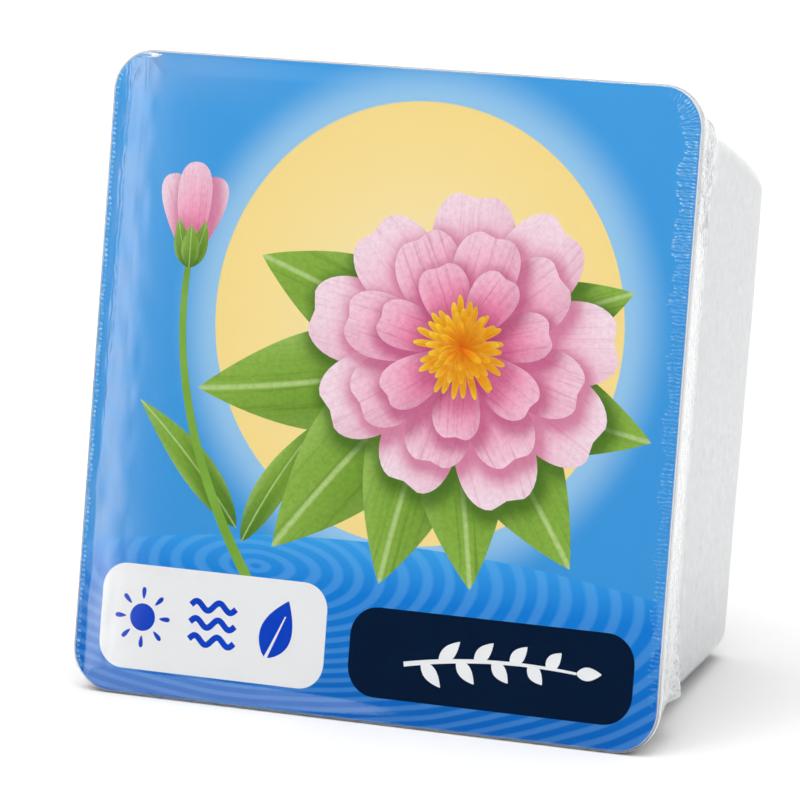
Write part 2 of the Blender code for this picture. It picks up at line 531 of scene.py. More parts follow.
def whorl(ink, count, turn, length, width, draw):
    """Petals round the blossom. Those that point up or down are shorter, as in a blossom seen from above."""
    petals = []
    order = sorted(range(count), key=lambda i: (i * 5) % count)
    for i in order:
        angle = turn + 360 * i / count + draw.uniform(-4, 4)
        share = 1 - 0.13 * abs(math.sin(math.radians(angle)))
        reach = length * share * draw.uniform(0.94, 1.05)
        root = BLOSSOM + 3 * np.array([math.cos(math.radians(angle)), math.sin(math.radians(angle))])
        petals.append(
            petal(ink, root, angle, reach, width * draw.uniform(0.93, 1.05), 0.05, draw.uniform(-0.08, 0.08))
        )
    return petals


def blossom_motifs():
    draw = random.Random(PRINT_SEED)
    motifs = [
        leaf("leaf", BLOSSOM - (4, 4), angle, length, width, bend)
        for angle, length, width, bend in (
            (152, 68, 30, 0.2),
            (28, 62, 26, -0.2),
            (196, 82, 32, -0.25),
            (338, 68, 30, 0.25),
            (224, 80, 34, 0.2),
            (312, 72, 32, -0.2),
            (252, 70, 32, 0.15),
            (283, 68, 30, -0.1),
        )
    ]
    motifs += whorl("outer_petal", 9, 10, 51, 27, draw)
    motifs += whorl("middle_petal", 8, 33, 39, 22, draw)
    motifs += whorl("inner_petal", 7, 12, 27, 16, draw)
    motifs.append(Motif("pollen", disc(BLOSSOM, 8, 40), BLOSSOM, 90, 8, 16, shadow=0.5))
    for ring_length, count, ink in ((14.5, 26, "stamen"), (11, 20, "stamen"), (7.5, 14, "pollen")):
        for i in range(count):
            angle = 360 * (i + draw.uniform(-0.25, 0.25)) / count
            length = ring_length * draw.uniform(0.85, 1.1)
            motifs.append(petal(ink, BLOSSOM, angle, length, 2.3, 0.0, draw.uniform(-0.4, 0.4), 0.45))
    return motifs


def plate_motifs():
    """The bare plates, with plain garden signs on the white one and a sprig on the dark one."""
    motifs = [
        Motif("white_plate", plate_outline(-87, -90, -12, -58, 8)),
        Motif("navy_plate", plate_outline(-4, -90, 87, -63, 9)),
    ]
    signs_y = -74.0
    motifs.append(Motif("blue_sign", disc((-73, signs_y), 4.2, 32)))
    for i in range(8):
        angle = 45 * i
        towards = np.array([math.cos(math.radians(angle)), math.sin(math.radians(angle))])
        root = np.array([-73, signs_y]) + 5.6 * towards
        motifs.append(petal("blue_sign", root, angle, 3.6, 1.5, 0.0, shadow=0.0))
    for k in range(3):
        x = np.linspace(-57, -42, 30)
        wave = np.column_stack([x, signs_y + 5.5 - 5.2 * k + 1.3 * np.sin((x + 57) / 15 * 4 * math.pi)])
        motifs.append(ribbon("blue_sign", wave, np.full(30, 1.9)))
    motifs.append(leaf("blue_sign", (-31.5, signs_y - 8), 66, 19, 10.5, 0.1, 0.0))
    rib = curve((-31.5, signs_y - 8.4), (-29, signs_y - 3), (-25.5, signs_y + 5), 12)
    motifs.append(ribbon("white_plate", rib, np.linspace(1.1, 0.4, 12)))
    stalk = curve((14, -79), (41, -73.5), (69, -76), 30)
    motifs.append(ribbon("white_sprig", stalk, np.linspace(1.5, 0.8, 30)))
    for k in range(8):
        spot = stalk[3 + 3 * k]
        tilt = 42 if k % 2 else -42
        motifs.append(leaf("white_sprig", spot, tilt, 9.5 - 0.4 * k, 4.2, 0.15 if k % 2 else -0.15, 0.0))
    motifs.append(leaf("white_sprig", stalk[-1], 4, 8, 4, 0.0, 0.0))
    return motifs


def outline_distance(points, outline):
    """Distance from each point to a closed outline, 0 for the points inside it."""
    ends = np.roll(outline, -1, axis=0)
    run = ends - outline
    offset = points[:, None] - outline[None]
    share = np.clip((offset * run).sum(2) / np.maximum((run * run).sum(1), 1e-9), 0, 1)
    gap = np.linalg.norm(offset - share[..., None] * run, axis=2).min(axis=1)
    above = points[:, None, 1] < outline[None, :, 1]
    crosses = above != (points[:, None, 1] < ends[None, :, 1])
    slope = np.where(np.abs(run[:, 1]) < 1e-9, 1e-9, run[:, 1])
    reach = outline[None, :, 0] + (points[:, None, 1] - outline[None, :, 1]) * run[:, 0] / slope
    within = (crosses & (points[:, None, 0] < reach)).sum(1) % 2 == 1
    return np.where(within, 0, gap)


def painted_tone(points, across, owner, motifs):
    """(shadow, light) at each point: the shadows of the motifs over its own, and light from above left."""
    shadow = np.zeros(len(points))
    for k, motif in enumerate(motifs):
        if not motif.shadow:
            continue
        low = motif.outline.min(0) + SHADOW_THROW - 2.5 * SHADOW_REACH
        high = motif.outline.max(0) + SHADOW_THROW + 2.5 * SHADOW_REACH
        near = np.flatnonzero((owner < k) & (points > low).all(1) & (points < high).all(1))
        if len(near):
            gap = outline_distance(points[near] - SHADOW_THROW, motif.outline)
            shadow[near] = np.maximum(shadow[near], motif.shadow * np.exp(-((gap / SHADOW_REACH) ** 2)))
    lean = np.array([[-motif.axis[1], motif.axis[0]] for motif in motifs]) @ LIGHT_FROM
    light = np.clip(0.5 + (across - 0.5) * lean[owner] * LIGHT_GAIN, 0, 1)
    return shadow, light


def print_points():
    """The grid that carries the painted tones between outlines, finer round the blossom and the bud."""
    points = []
    for spacing, wanted in ((COARSE_GRID, False), (FINE_GRID, True)):
        xs = np.arange(-HALF_WIDTH + spacing, HALF_WIDTH - spacing / 2, spacing)
        ys = np.arange(-HALF_HEIGHT + spacing, HALF_HEIGHT - spacing / 2, spacing)
        grid = np.array([(x + GRID_STAGGER * spacing * (j % 3), y) for j, y in enumerate(ys) for x in xs])
        fine = np.linalg.norm(grid - BLOSSOM, axis=1) < BLOSSOM_REACH
        fine |= (grid[:, 0] < BUD_RIGHT) & (grid[:, 1] > BUD_RISE[0]) & (grid[:, 1] < BUD_RISE[1])
        points.append(grid[fine == wanted])
    points = np.concatenate(points)
    half = np.array([HALF_WIDTH, HALF_HEIGHT])
    edge = (half - np.abs(points)).min(axis=1)
    corner = np.linalg.norm(np.maximum(np.abs(points) - half + CARD_CORNER, 0), axis=1)
    return points[(edge > GRID_TO_EDGE) & (corner < CARD_CORNER - GRID_TO_EDGE)]


def partition(motifs):
    """The card's face cut along every outline: its points, its triangles and the topmost motif on each."""
    points = []
    loops = []
    for motif in motifs:
        loops.append(list(range(len(points), len(points) + len(motif.outline))))
        points += [Vector(point) for point in motif.outline]
    points += [Vector(point) for point in print_points()]
    found, _, faces, _, _, sources = delaunay_2d_cdt(points, [], loops, 1, 1e-4, True)
    kept = [(face, max(source)) for face, source in zip(faces, sources) if 0 in source]
    return np.array([tuple(point) for point in found]), [face for face, _ in kept], [top for _, top in kept]


def rim_corners(bm):
    """The corners round a sheet's open edge, in the order in which its faces run along it."""
    onward = {}
    for edge in bm.edges:
        if edge.is_boundary:
            loop = edge.link_loops[0]
            onward[loop.vert] = loop.link_loop_next.vert
    rim = [next(iter(onward))]
    while len(rim) < len(onward):
        rim.append(onward[rim[-1]])
    return rim


def make_card():
    motifs = background_motifs() + bud_motifs() + blossom_motifs() + plate_motifs()
    points, faces, tops = partition(motifs)
    bm = bmesh.new()
    corners = [bm.verts.new((*(point * MM), 0)) for point in points]
    inks = printed_inks()
    order = list(inks)
    printed = []
    for face, top in zip(faces, tops):
        made = bm.faces.new([corners[i] for i in face])
        made.material_index = order.index(motifs[top].ink)
        printed.append(made)
    bmesh.ops.delete(bm, geom=[vert for vert in bm.verts if not vert.link_faces], context="VERTS")
    owner = np.repeat(tops, 3)
    spots = np.array([(loop.vert.co.x, loop.vert.co.y) for made in printed for loop in made.loops]) / MM
    inside = np.array([motifs[k].inside(spots[i : i + 1])[0] for i, k in enumerate(owner)])
    shadow, light = painted_tone(spots, inside[:, 1], owner, motifs)
    carried = (inside, np.column_stack([shadow, light]), np.column_stack([owner * SEED_STEP, 0 * owner]))
    layers = [bm.loops.layers.uv.new(name) for name in PRINT_LAYERS]
    for i, loop in enumerate(loop for made in printed for loop in made.loops):
        for layer, values in zip(layers, carried):
            loop[layer].uv = values[i]
    rim = rim_corners(bm)
    low = [bm.verts.new(corner.co - Vector((0, 0, CARD_THICKNESS * MM))) for corner in rim]
    for i in range(len(rim)):
        side = bm.faces.new((rim[i], rim[i - 1], low[i - 1], low[i]))
        side.material_index = order.index("cut_edge")
    bm.faces.new(reversed(low)).material_index = order.index("board_back")
    mesh = bpy.data.meshes.new("printed_card")
    bm.to_mesh(mesh)
    bm.free()
    for made in inks.values():
        mesh.materials.append(made)
    show("printed_card", mesh, "card_lid")


def print_surface(name):
    """A coated board's printed skin, with its sockets for colour left to the ink."""
    made, tree, shader = surface(name)
    place = pack_place(tree)
    grain_size = 0.9 * MM
    grain = add(tree, "TexNoise", {"Vector": place, "Scale": 1 / grain_size, "Detail": 2.0}).outputs[0]
    relief = add(tree, "Bump", {"Height": grain, "Strength": 0.05, "Distance": 0.05 * MM}).outputs[0]
    tree.links.new(relief, shader.inputs["Normal"])
    shader.inputs["Roughness"].default_value = 0.5
    shader.inputs["Specular IOR Level"].default_value = 0.04
    return made, tree, shader, place


def flat_ink(name, code, second):
    """An even run of ink, with the slight mottle that offset printing leaves on board."""
    made, tree, shader, place = print_surface(name)
    mottle_size = 14 * MM
    mottle = add(tree, "TexNoise", {"Vector": place, "Scale": 1 / mottle_size, "Detail": 5.0}).outputs[0]
    colour = add(tree, "ValToRGB", {0: mottle}, stops=((0.3, code), (0.7, second)))
    tree.links.new(colour.outputs[0], shader.inputs["Base Color"])
    return made


def sky_ink():
    """Process blue, lighter at the top, with a pale glow round the sun."""
    made, tree, shader, place = print_surface("process_blue_offset_ink")
    glow_width = 16
    up = add(tree, "SeparateXYZ", {0: place}).outputs["Y"]
    rise = add(
        tree,
        "MapRange",
        {"Value": up, "From Min": -HALF_HEIGHT * MM, "From Max": HALF_HEIGHT * MM},
    ).outputs[0]
    colour = add(tree, "ValToRGB", {0: rise}, stops=((0.0, "#409AE0"), (0.6, "#44A1E5"), (1.0, "#4AA7EA")))
    away = add(tree, "VectorMath", {0: place, 1: (*(SUN * MM), 0)}, operation="DISTANCE").outputs["Value"]
    glow_ends = (SUN_RADIUS + glow_width) * MM
    glow = add(
        tree,
        "MapRange",
        {"Value": away, "From Min": SUN_RADIUS * MM, "From Max": glow_ends, "To Min": 0.5, "To Max": 0.0},
        interpolation_type="SMOOTHSTEP",
    ).outputs[0]
    lit = add(tree, "Mix", {0: glow, 6: colour.outputs[0], 7: linear("#CEF1FF")}, data_type="RGBA")
    tree.links.new(lit.outputs[2], shader.inputs["Base Color"])
    return made


def sun_ink():
    """Warm cream, paler at its middle."""
    made, tree, shader, place = print_surface("warm_cream_offset_ink")
    away = add(tree, "VectorMath", {0: place, 1: (*(SUN * MM), 0)}, operation="DISTANCE").outputs["Value"]
    share = add(tree, "Math", {0: away, 1: SUN_RADIUS * MM}, operation="DIVIDE").outputs[0]
    colour = add(tree, "ValToRGB", {0: share}, stops=((0.3, "#FFECB4"), (0.75, "#FFE79F"), (1.0, "#FFE496")))
    tree.links.new(colour.outputs[0], shader.inputs["Base Color"])
    return made


def water_ink():
    """Clear blue water with long flat rings round the stem, drawn as lighter and darker bands."""
    made, tree, shader, place = print_surface("cyan_blue_offset_ink")
    ring_spacing = 7.5 * MM
    rings_middle = (-34 * MM, -54 * MM)
    rings_flatness = 2.6
    sway_size = 26 * MM
    sway_reach = 5 * MM
    centring = {
        "Vector": place,
        "Location": (-rings_middle[0], -rings_middle[1] * rings_flatness, 0),
        "Scale": (1, rings_flatness, 1),
    }
    centred = add(tree, "Mapping", centring).outputs[0]
    sway = add(tree, "TexNoise", {"Vector": place, "Scale": 1 / sway_size, "Detail": 0.0}).outputs[1]
    sway_share = (sway_reach, sway_reach, 0)
    swayed = add(tree, "VectorMath", {0: sway, 1: sway_share}, operation="MULTIPLY").outputs[0]
    rings_place = add(tree, "VectorMath", {0: centred, 1: swayed}, operation="ADD").outputs[0]
    # The wave texture repeats every pi / 10 at scale 1
    rings = add(
        tree,
        "TexWave",
        {"Vector": rings_place, "Scale": math.pi / 10 / ring_spacing},
        wave_type="RINGS",
        rings_direction="Z",
    ).outputs[0]
    up = add(tree, "SeparateXYZ", {0: place}).outputs["Y"]
    depth = add(
        tree,
        "MapRange",
        {"Value": up, "From Min": -HALF_HEIGHT * MM, "From Max": WATER_LEVEL * MM},
    ).outputs[0]
    body = add(tree, "ValToRGB", {0: depth}, stops=((0.0, "#0C67C2"), (0.7, "#1682DC"), (1.0, "#3FA7EE")))
    band = add(tree, "ValToRGB", {0: rings}, stops=((0.35, "#000000"), (0.8, "#6F6F6F")))
    mixed = add(tree, "Mix", {0: band.outputs[0], 6: body.outputs[0], 7: linear("#97DAFF")}, data_type="RGBA")
    tree.links.new(mixed.outputs[2], shader.inputs["Base Color"])
    return made


def painted_ink(name, body, edge, shade, vein_spacing, rib=None):
    """An ink run that models a petal or a leaf: colour along it, veins, paler edges, light and shade."""
    made, tree, shader, place = print_surface(name)
    spot, tone, seed = (
        add(tree, "SeparateXYZ", {0: add(tree, "UVMap", uv_map=layer).outputs[0]}).outputs
        for layer in PRINT_LAYERS
    )
    along = spot[0]
    shadow = tone[0]
    light = tone[1]
    off_middle = add(tree, "Math", {0: spot[1], 1: 0.5}, operation="SUBTRACT").outputs[0]
    from_middle = add(tree, "Math", {0: off_middle}, operation="ABSOLUTE").outputs[0]
    fan = add(tree, "Math", {0: off_middle, 1: 1 / vein_spacing}, operation="MULTIPLY").outputs[0]
    reach = add(tree, "Math", {0: along, 1: 1.4}, operation="MULTIPLY").outputs[0]
    vector = add(tree, "CombineXYZ", {0: reach, 1: fan, 2: seed[0]}).outputs[0]
    veins = add(
        tree,
        "TexNoise",
        {"Vector": vector, "Scale": 1.0, "Detail": 3.0, "Roughness": 0.65},
    ).outputs[0]
    tooth_size = 1.6 * MM
    tooth = add(
        tree,
        "TexNoise",
        {"Vector": place, "Scale": 1 / tooth_size, "Detail": 4.0, "Roughness": 0.7},
    ).outputs[0]
    dim = add(tree, "MapRange", {"Value": light, "From Min": 0.5, "From Max": 0.0, "To Max": 0.45}).outputs[0]
    dark = add(tree, "Math", {0: shadow, 1: dim}, operation="MAXIMUM").outputs[0]

    # What lies over the body's colour: the value it follows, where it starts and is full, how much and which
    overlays = [
        (veins, 0.52, 0.74, 0.45, shade),
        (from_middle, 0.25, 0.5, 0.6, edge),
        (light, 0.5, 1.0, 0.5, edge),
        (dark, 0.0, 1.0, 1.0, shade),
        (tooth, 0.4, 0.75, 0.28, shade),
    ]
    if rib:
        overlays.insert(1, (from_middle, 0.035, 0.012, 0.75, rib))
    colour = add(tree, "ValToRGB", {0: along}, stops=body).outputs[0]
    for value, start, full, amount, code in overlays:
        ends = {"Value": value, "From Min": start, "From Max": full, "To Max": amount}
        share = add(tree, "MapRange", ends).outputs[0]
        colour = add(tree, "Mix", {0: share, 6: colour, 7: linear(code)}, data_type="RGBA").outputs[2]
    tree.links.new(colour, shader.inputs["Base Color"])
    return made


def printed_inks():
    """Every finish on the card, by the name that its motifs use."""
    return {
        "sky": sky_ink(),
        "sun": sun_ink(),
        "water": water_ink(),
        "outer_petal": painted_ink(
            "pale_rose_process_ink",
            ((0.1, "#F191B8"), (0.45, "#FFC3DA"), (0.9, "#FFE7F2")),
            "#FFF6FC",
            "#D36C97",
            0.035,
        ),
        "middle_petal": painted_ink(
            "rose_process_ink",
            ((0.1, "#E46C97"), (0.5, "#FEACCA"), (0.95, "#FFDBE9")),
            "#FFEFF8",
            "#C25283",
            0.04,
        ),
        "inner_petal": painted_ink(
            "deep_rose_process_ink",
            ((0.15, "#D95387"), (0.55, "#FA97BB"), (0.95, "#FFCDE0")),
            "#FFE5F2",
            "#B14072",
            0.05,
        ),
        "leaf": painted_ink(
            "leaf_green_process_ink",
            ((0.0, "#56842E"), (0.5, "#83AD3E"), (1.0, "#97C050")),
            "#B0D26E",
            "#416922",
            0.06,
            rib="#CBE39A",
        ),
        "stem": flat_ink("stem_green_process_ink", "#77A639", "#8CB94B"),
        "stamen": painted_ink(
            "golden_yellow_process_ink",
            ((0.2, "#FF9514"), (0.7, "#FFC021"), (1.0, "#FFE241")),
            "#FFF073",
            "#D76712",
            0.3,
        ),
        "pollen": painted_ink(
            "deep_gold_process_ink",
            ((0.0, "#F17312"), (0.6, "#FFA61B"), (1.0, "#FFD132")),
            "#FFE052",
            "#C0550E",
            0.3,
        ),
        "white_plate": flat_ink("unprinted_white_coating", "#F3F3F3", "#F5F5F5"),
        "navy_plate": flat_ink("navy_offset_ink", "#011935", "#021B39"),
        "blue_sign": flat_ink("ultramarine_offset_ink", "#0C41C2", "#0E48CA"),
        "white_sprig": flat_ink("white_reversed_out_of_navy", "#F6F8FA", "#FAFBFC"),
        "cut_edge": flat_ink("die_cut_white_board_edge", "#F2F2F0", "#FAFAF8"),
        "board_back": flat_ink("uncoated_grey_board_back", "#CFCDC8", "#D8D6D1"),
    }


# The shrink film

# Steps round each corner and along the side after it: closest on the right, where the film is puckered
FILM_COLUMNS = ((80, 112, 0.5), (64, 288, -0.3), (32, 64, 0), (80, 704, 0.3))
FILM_EDGE_STEPS = 5
FILM_FILLET_STEPS = 6

# What the film's points carry for its shader: how milky it is, with painted highlights and sheen laid on as
# white;
# how much crumple and painted shade of folds it has; and how strong the painted highlights on its ridges are
FILM_LOOKS = ("haze_and_highlight", "crumple_and_shade", "ridge_glint")
GATHER_SEED = 11
GATHERED_SKIRT = 3.0
GATHER_HEIGHT = 0.07
# How strong the painted highlight along a pucker's ridge is
RIDGE_GLOW = 0.42

# Along the card's edge, anticlockwise from the right side's top: the top side starts at 20, the left side at
# 204, the bottom at 393 and the right side at 577
GATHER_STATIONS = (0, 13, 17, 186, 196, 230, 374, 390, 570, 592, 690, 712, 748)
GATHER_STRENGTH = (1.0, 0.9, 0, 0, 0.5, 0.7, 0.5, 0, 0, 0.3, 0.5, 1.0, 1.0)
GATHER_REACH = (5.4, 4.4, 3.0, 1.4, 1.4, 1.5, 1.5, 1.5, 2.0, 3.0, 4.6, 5.6, 5.2)
GATHER_SPACING = (1.15, 1.15, 2.5, 2.5, 1.5, 1.5, 1.5, 3.0, 3.0, 1.4, 1.1, 0.92, 0.95)
# How wide the painted highlight across each ridge is
RIDGE_WIDTH = (0.18, 0.19, 0.2, 0.3, 0.34, 0.34, 0.34, 0.3, 0.2, 0.19, 0.18, 0.18, 0.18)

# The slack along the card's left side, where the film leaves the card at a slight turn
SLACK_LEFT = -91.3
SLACK_RIGHT = -85.5
SLACK_TURN = math.radians(4.2)
SLACK_EASE = 8.0
SLACK_SETTLES = 70.0
# How strong the painted sheen in the slack film is, laid on as milky white
SLACK_SHEEN = 0.07

# The wavy creases in it: each one's place, its depth, how closely it wavers and how far down it is full
SLACK_CREASES = ((-90.5, 0.09, 1.3, 20), (-89.6, 0.08, 0.9, 34), (-84.2, 0.015, 3.1, 30))

# The film's trim seal, a thin ridge round the pack behind the card, nearer the card at the top
SEAL_DEPTH = 31.6
SEAL_SLOPE = -0.062
SEAL_HEIGHT = 0.5
SEAL_WIDTH = 0.75
# How milky the drawn film behind the card is; this white also paints over the shade in the gap behind the
# card's edge
DRAWN_HAZE_OVER_SHADE = 0.85

# Where, in x, the film behind the card becomes the right side's, and how deep its seal, folds and ear reach
RIGHT_SIDE = (60.0, 80.0)
SKIRT_REACH = 60.0

# The painted highlight, laid on as a white bead, where the film turns over the card's edge: its tilt, and how
# wide it is
BEAD_TILT = math.radians(54)
BEAD_WIDTH = 0.34

# The wrinkles at the card's upper left corner, and the blister beside them with the hollow in its top, where
# a painted highlight rings the hollow
WRINKLES = (-87.4, 91.0)
WRINKLE_SPACING = 0.95
BLISTER = (-83.4, 96.1)
BLISTER_HALF = (3.1, 0.66)
HOLLOW = (-84.6, 96.15)
HOLLOW_HALF = (1.6, 0.5)

# The ear of loose film that the seal leaves behind the card's lower right corner
EAR_TOP = -57.5
EAR_TIP = -80.7
EAR_DEPTH = 19.0
EAR_SLOPE = 0.7
EAR_REACH = 4.5
EAR_WIDTH = 6.0
# How milky the ear is, which also stands for the light off its many wrinkles, and how much painted shade of
# flecks it carries
EAR_WHITE = 0.85
EAR_FLECKS = 0.42

# Painted shade along the film where the card's lower edge meets the floor, laid on as shaded folds, for the
# dark
# contact line there: how strong it is, where it starts and is full, up to which tilt and how deep
FOOT_SHADE = 0.9
FOOT_FALL = (-95.5, -97.0)
FOOT_TILT = math.radians(50)
FOOT_REACH = 4.0

# The crumple in the film behind the card's upper right corner, which carries painted shade: where it starts
# and is full, its depth and its width
CRUMPLE_TURN = (76.0, 86.0)
CRUMPLE_RISE = (42.0, 66.0)
CRUMPLE_DEPTH = 16.0
CRUMPLE_WIDTH = 15.0

# The upper right corner, where the film bridges from the card to the wall: how far it stands off, how deep
# behind the card it does, and where along the outline it starts and is full
CORNER_BULGE = 1.2
BULGE_DEPTH = 27.0
BULGE_WIDTH = 11.0
BULGE_TURN = (91.4, 95.6)
BULGE_RISE = (60.0, 84.0)


def edge_run():
    """How far along the card's edge each of the film's columns is, and the edge's whole length."""
    outline, _ = square_outline(0, CARD_CORNER, FILM_COLUMNS)
    steps = np.linalg.norm(np.roll(outline, -1, axis=0) - outline, axis=1)
    return np.concatenate([[0], np.cumsum(steps)[:-1]]), steps.sum()


def gathers_along(length):
    """The puckers that shrinking leaves across the card's edge.

    For each it gives its place, reach, strength, lean, and how strong the painted glints at its two ends are.
    """
    draw = random.Random(GATHER_SEED)
    gathers = []
    run = 0.0
    while run < length:
        strength = np.interp(run, GATHER_STATIONS, GATHER_STRENGTH) * draw.uniform(0.5, 1.3)
        swell = 1 + 0.16 * math.sin(run / 2.9) + 0.1 * math.sin(run / 1.3)
        far = np.interp(run, GATHER_STATIONS, GATHER_REACH) * swell * draw.uniform(0.88, 1.06)
        gap = np.interp(run, GATHER_STATIONS, GATHER_SPACING) * draw.uniform(0.82, 1.2)
        ends = (draw.uniform(0.1, 1.2), draw.uniform(-0.3, 1.1))
        gathers.append((run + gap / 2, far, strength, draw.uniform(-0.08, 0.08), *ends))
        run += gap
    return np.array(gathers).T


def gather_lift(run, inset, gathers, length):
    """(lift, ridge) of the film by its puckers: how far they raise it, and the painted highlight on their
    ridges.

    inset is the distance in from the card's edge, less than 0 behind it.
    """
    place, reach, strength, lean, inner_glint, outer_glint = gathers
    after = np.searchsorted(place, run)
    lift = np.zeros(len(run))
    ridge = np.zeros(len(run))
    for beside in (-1, 0):
        k = (after + beside) % len(place)
        wander = lean[k] * inset + 0.13 * np.sin(inset * 1.9 + place[k])
        offset = (run - place[k] - wander + length / 2) % length - length / 2
        wave = np.sin(inset * 2.7 + place[k] * 5)
        body = step(inset, reach[k] + 0.3, reach[k] - 0.4)
        inner = np.clip(inner_glint[k], 0, 1) * bump(inset, reach[k] - 0.1, 0.36)
        outer = np.clip(outer_glint[k], 0, 1) * bump(inset, 1.1, 0.42)
        shape = 0.8 * (0.6 + 0.4 * wave) * body + inner + outer
        lift += GATHER_HEIGHT * strength[k] * bump(offset, 0, 0.26) * shape * step(inset, -GATHERED_SKIRT, 0)
        # The painted highlight along each ridge and at its two ends
        bright = np.minimum(RIDGE_GLOW * step(wave, -1.8, 0.2) * body + inner + outer, 1)
        bright *= step(inset, 0.2, 0.6)
        across = bump(offset, 0, np.interp(run, GATHER_STATIONS, RIDGE_WIDTH))
        ridge = np.maximum(ridge, np.minimum(1.3 * strength[k], 1) * across * bright)
    return lift, ridge


def slack_lift(x, y):
    """The slack film along the left side, with its wavy creases and small unevenness."""
    wavering = x + 0.22 * np.sin(y / 7) + 0.16 * np.sin(y / 2.9 + 1)
    turned = np.clip(wavering - SLACK_LEFT, 0, SLACK_RIGHT - SLACK_LEFT)
    beyond = np.maximum(wavering - SLACK_RIGHT, 0)
    rise = (turned + SLACK_EASE * (1 - np.exp(-beyond / SLACK_EASE))) * math.tan(SLACK_TURN)
    lift = rise * np.exp(-((beyond / SLACK_SETTLES) ** 2))
    for crease, depth, waver, low in SLACK_CREASES:
        middle = crease + 0.16 * np.sin(y / waver) + 0.2 * np.sin(y / 5.1 + crease)
        lift -= depth * bump(x, middle, 0.27) * step(y, low - 60, low)
    near = np.flatnonzero(x < -70)
    if len(near):
        uneven = ripple(np.column_stack([x[near], y[near], 0 * near]), (3.5, 10, 1), 5)
        lift[near] += 0.05 * uneven * step(x[near], -70, -80)
    top_ease = 2.2 + 5 * step(x, -83, -77)
    return lift * step(HALF_HEIGHT - y, 0.3, top_ease) * step(HALF_HEIGHT + y, 0.3, 7)


def painted_slack_sheen(x, y):
    """The painted sheen where the film is slack, laid on as milky white in patches, with a thin line beside
    it on the left, and more faintly along the card's top.
    """
    sheen = np.zeros(len(x))
    near = np.flatnonzero((x < -20) & ((x < -64) | (y > 70)))
    if len(near):
        x = x[near]
        y = y[near]
        patches = ripple(np.column_stack([x, y, 0 * x]), (4.5, 9, 1), 6)
        loose = step(x, -80, -86.5) * step(x, SLACK_LEFT - 0.3, SLACK_LEFT + 0.4) + 0.35 * step(x, -64, -84)
        tight = 0.25 * bump(x, SLACK_LEFT - 1.6, 1.3)
        top = (1.1 * step(x, -28, -72) + 1.6 * step(x, -76, -83)) * step(y, 78, 94) * step(x, -94, -88)
        cover = SLACK_SHEEN * np.clip(0.8 + 0.9 * patches, 0.1, 1.5) * (loose + tight) * step(y, -94, -80)
        sheen[near] = np.maximum(cover, SLACK_SHEEN * top)
    return sheen


def corner_wrinkles(x, y):
    """(lift, white) of the curved wrinkles at the upper left corner and of the small blister beside them.

    white is a painted highlight on the wrinkles' crests and in a ring round the blister's hollow.
    """
    above = y - WRINKLES[1]
    across = x - 0.33 * above - 0.04 * above**2
    wave = np.sin(across * 2 * math.pi / WRINKLE_SPACING)
    share = bump(across, WRINKLES[0], 1.5) * bump(above, 0, 3.2)
    hollow = np.hypot((x - HOLLOW[0]) / HOLLOW_HALF[0], (y - HOLLOW[1]) / HOLLOW_HALF[1])
    swollen = np.hypot((x - BLISTER[0]) / BLISTER_HALF[0], (y - BLISTER[1]) / BLISTER_HALF[1])
    # A painted highlight rings the blister's hollow, and a fainter one lies on the wrinkles' crests
    rim = step(hollow, 0.85, 1.25) * step(swollen, 1.15, 0.85)
    lift = 0.04 * wave * share + 0.4 * step(swollen, 1.3, 0.5)
    return lift, np.maximum(0.95 * rim, 0.3 * step(wave, 0, 1) * share)


def edge_bead_highlight(x, y, tilt):
    """The painted highlight where the film turns over the card's edge, as white: most on the right, less
    along the top. On the right, lower down the turn, milky white also paints over the shade behind the edge.
    """
    right = step(x, 88, 94) * step(y, -97, -60)
    top = 0.3 * step(y, 90, 96)
    bead = np.maximum(np.maximum(right, top), 0.1) * bump(tilt, BEAD_TILT, BEAD_WIDTH)
    return np.maximum(bead, DRAWN_HAZE_OVER_SHADE * right * step(tilt, math.radians(40), math.radians(12)))


def seal_share(y, depth):
    """1 on the trim seal and less beside it."""
    return bump(depth, SEAL_DEPTH + SEAL_SLOPE * y, SEAL_WIDTH)


def crumple_shares(points, depth):
    """The share of crumple in the film by the upper right corner, and in the ear by the lower right one."""
    x, y, _ = points.T
    upper = step(x, *CRUMPLE_TURN) * step(y, *CRUMPLE_RISE) * step(y, 98, 93)
    upper = upper * bump(depth, CRUMPLE_DEPTH + 0.1 * (80 - y), CRUMPLE_WIDTH)
    ear_side = np.interp(y, (EAR_TIP - 8, EAR_TOP), (0.5, 27.0))
    lower = step(x, *RIGHT_SIDE) * step(y, EAR_TOP + 5, EAR_TOP - 5) * step(y, -95, -87)
    return upper, lower * step(depth, ear_side, ear_side + 5) * step(depth, 40, 30)


def skirt_lift(points, depth):
    """The film's lift behind the card: the seal, the crumple by the upper right corner and the ear."""
    x, y, _ = points.T
    right = step(x, *RIGHT_SIDE)
    lift = SEAL_HEIGHT * seal_share(y, depth) * (0.35 + 0.65 * right)
    upper, lower = crumple_shares(points, depth)
    where = np.flatnonzero(upper + lower > 0.02)
    if len(where):
        fine = ripple(points[where], (1.2, 1.7, 1.5), 1)
        coarse = ripple(points[where], (3.2, 4.6, 3.4), 2)
        lift[where] += upper[where] * (0.5 * fine + 0.7 * coarse) * (1 - 0.7 * step(y[where], 76, 88))
        lift[where] += lower[where] * (0.5 * fine + 0.5 * coarse)
    rise = np.clip((EAR_TOP - y) / (EAR_TOP - EAR_TIP), 0, 1.1) * step(y, EAR_TIP - 2.9, EAR_TIP - 0.1)
    fold_depth = EAR_DEPTH + (y - EAR_TIP) * EAR_SLOPE
    lift += right * EAR_REACH * rise * np.exp(-np.abs(depth - fold_depth) / EAR_WIDTH)
    turned = step(x + 0.27 * depth, *BULGE_TURN) * step(y, *BULGE_RISE)
    return lift + CORNER_BULGE * bump(depth, BULGE_DEPTH, BULGE_WIDTH) * turned


